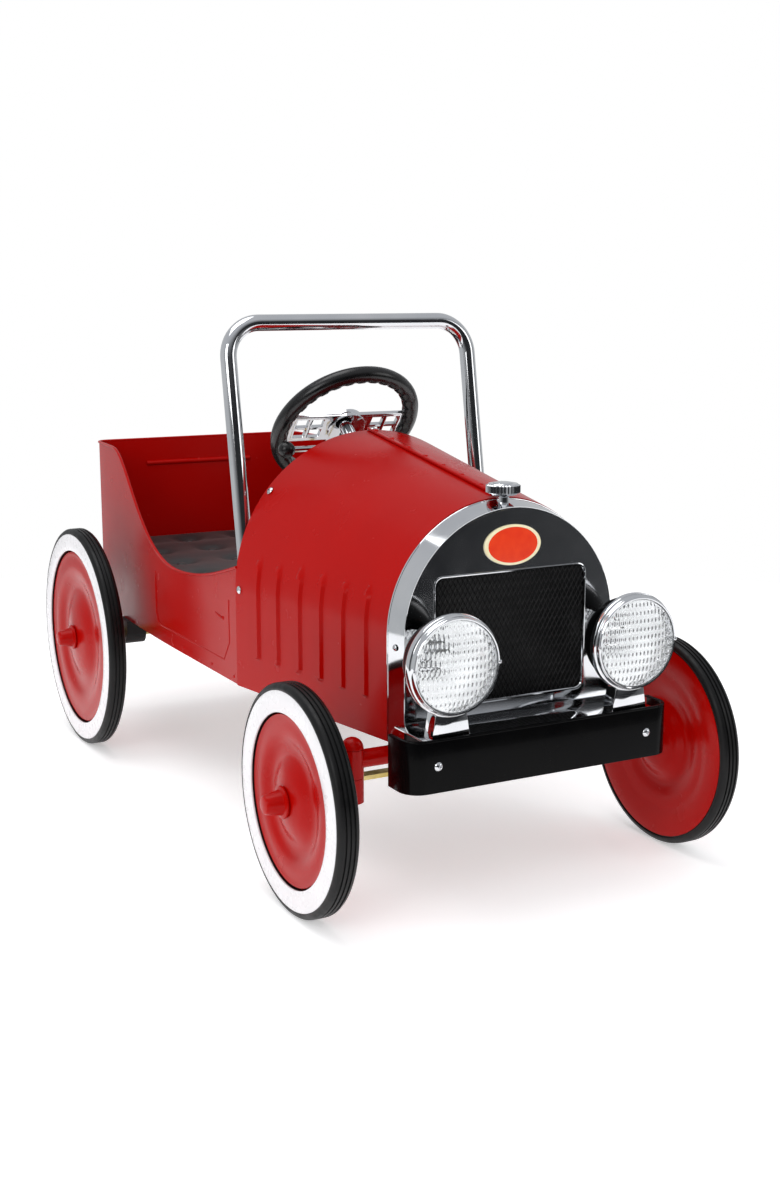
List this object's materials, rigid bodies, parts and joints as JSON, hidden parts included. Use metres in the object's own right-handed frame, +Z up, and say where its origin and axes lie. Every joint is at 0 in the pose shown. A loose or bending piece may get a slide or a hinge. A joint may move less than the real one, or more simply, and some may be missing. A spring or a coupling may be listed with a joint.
{
  "type": "pedal car",
  "caption": "Child's pedal car: pressed steel body with arched bonnet and open windscreen frame, padded seat, steered front wheels and pedals cranking the rear axle.",
  "frame": {"origin": "on the floor under the centre of the whole car's box", "axes": "+Z up, the bonnet faces -Y, the car's left side is +X"},
  "size_m": [0.4498, 0.809, 0.496],
  "materials": {
    "red_enamel": "gloss enamel",
    "chrome_plate": "polished chrome plate",
    "lamp_mirror": "metallised reflector",
    "lamp_glass": "clear fluted lens",
    "black_enamel": "gloss black enamel",
    "black_mesh": "satin black expanded metal",
    "emblem_enamel": "domed resin over print",
    "leatherette": "tufted leatherette",
    "black_plastic": "moulded plastic",
    "pedal_rubber": "moulded rubber",
    "tyre_rubber": "solid ribbed rubber",
    "whitewall": "moulded white ring",
    "zinc_steel": "yellow zinc plate"
  },
  "bodies": {
    "body": {"tub": "red_enamel", "hood_left": "red_enamel", "hood_right": "red_enamel", "hood_strip": "red_enamel", "dashboard": "red_enamel", "column_sleeve": "black_plastic", "grille_shell": "chrome_plate", "grille_mesh": "black_mesh", "emblem": "emblem_enamel", "filler_neck": "chrome_plate", "radiator_cap": "chrome_plate", "windscreen_frame": "chrome_plate", "lamp_bowl_left": "black_enamel", "lamp_bowl_right": "black_enamel", "lamp_rim_left": "chrome_plate", "lamp_rim_right": "chrome_plate", "lamp_lens_left": "lamp_glass", "lamp_lens_right": "lamp_glass", "lamp_reflectors": "lamp_mirror", "lamp_brackets": "chrome_plate", "bumper": "black_enamel", "bumper_shelf": "chrome_plate", "chassis_frame": "black_enamel", "seat_pan": "black_enamel", "seat_cushion": "leatherette", "rear_bearing_blocks": "black_plastic", "front_axle_beam": "red_enamel", "pedal_shaft": "zinc_steel", "column_bracket": "black_enamel", "body_screws": "chrome_plate"},
    "steering": {"steering_column": "zinc_steel", "steering_rim": "black_plastic", "steering_spokes": "chrome_plate"},
    "lever": {"shift_lever": "chrome_plate", "lever_knob": "black_plastic"},
    "steer_left": {"knuckle_left": "red_enamel", "front_cap_left": "red_enamel"},
    "steer_right": {"knuckle_right": "red_enamel", "front_cap_right": "red_enamel"},
    "tie": {"tie_rod": "zinc_steel"},
    "front_wheel_left": {"front_disc_left": "red_enamel", "front_tyre_left": "tyre_rubber", "front_whitewall_left": "whitewall"},
    "front_wheel_right": {"front_disc_right": "red_enamel", "front_tyre_right": "tyre_rubber", "front_whitewall_right": "whitewall"},
    "crank": {"rear_axle": "zinc_steel", "rear_caps": "red_enamel", "rear_disc_right": "red_enamel", "rear_tyre_right": "tyre_rubber", "rear_whitewall_right": "whitewall"},
    "rear_wheel_left": {"rear_disc_left": "red_enamel", "rear_tyre_left": "tyre_rubber", "rear_whitewall_left": "whitewall"},
    "pedal_left": {"pedal_arm_left": "black_enamel", "pedal_pad_left": "pedal_rubber"},
    "pedal_right": {"pedal_arm_right": "black_enamel", "pedal_pad_right": "pedal_rubber"},
    "rod_left": {"push_rod_left": "zinc_steel"},
    "rod_right": {"push_rod_right": "zinc_steel"}
  },
  "joints": [
    {"name": "steering_turn", "type": "hinge", "parent": "body", "child": "steering", "pos_m": [0, -0.0145, 0.383], "axis": [0, 0.7547, 0.6561], "range_deg": [-35, 35]},
    {"name": "kingpin_left", "type": "hinge", "parent": "body", "child": "steer_left", "pos_m": [0.1405, -0.3045, 0.125], "axis": [0, 0, 1], "range_deg": [-21, 21]},
    {"name": "kingpin_right", "type": "hinge", "parent": "body", "child": "steer_right", "pos_m": [-0.1405, -0.3045, 0.125], "axis": [0, 0, 1], "range_deg": [-21, 21]},
    {"name": "tie_rod_pivot", "type": "hinge", "parent": "steer_left", "child": "tie", "pos_m": [0.1405, -0.2695, 0.094], "axis": [0, 0, 1], "range_deg": [-21, 21]},
    {"name": "front_wheel_left_spin", "type": "hinge", "parent": "steer_left", "child": "front_wheel_left", "pos_m": [0.1925, -0.3045, 0.1], "axis": [1, 0, 0], "continuous": true},
    {"name": "front_wheel_right_spin", "type": "hinge", "parent": "steer_right", "child": "front_wheel_right", "pos_m": [-0.1925, -0.3045, 0.1], "axis": [1, 0, 0], "continuous": true},
    {"name": "rear_axle_spin", "type": "hinge", "parent": "body", "child": "crank", "pos_m": [0, 0.2795, 0.125], "axis": [1, 0, 0], "continuous": true},
    {"name": "rear_wheel_left_spin", "type": "hinge", "parent": "crank", "child": "rear_wheel_left", "pos_m": [0.1925, 0.2795, 0.125], "axis": [1, 0, 0], "continuous": true},
    {"name": "push_rod_left_pivot", "type": "hinge", "parent": "crank", "child": "rod_left", "pos_m": [0.03, 0.2515, 0.125], "axis": [1, 0, 0], "continuous": true},
    {"name": "push_rod_right_pivot", "type": "hinge", "parent": "crank", "child": "rod_right", "pos_m": [-0.03, 0.3075, 0.125], "axis": [1, 0, 0], "continuous": true},
    {"name": "pedal_left_swing", "type": "hinge", "parent": "body", "child": "pedal_left", "pos_m": [0.045, -0.2045, 0.24], "axis": [1, 0, 0], "range_deg": [0, 47]},
    {"name": "pedal_right_swing", "type": "hinge", "parent": "body", "child": "pedal_right", "pos_m": [-0.045, -0.2045, 0.24], "axis": [1, 0, 0], "range_deg": [-47, 0]},
    {"name": "lever_swing", "type": "hinge", "parent": "body", "child": "lever", "pos_m": [0, -0.03639, 0.36397], "axis": [0, 0.7547, 0.6561], "range_deg": [-15, 15]}
  ],
  "couplings": [
    {"joint": "kingpin_left", "follows": "steering_turn", "ratio": 0.6},
    {"joint": "kingpin_right", "follows": "steering_turn", "ratio": 0.6},
    {"joint": "tie_rod_pivot", "follows": "steering_turn", "ratio": -0.6},
    {"joint": "push_rod_left_pivot", "follows": "rear_axle_spin", "ratio": -1},
    {"joint": "push_rod_right_pivot", "follows": "rear_axle_spin", "ratio": -1},
    {"joint": "pedal_right_swing", "follows": "pedal_left_swing", "ratio": -1}
  ]
}
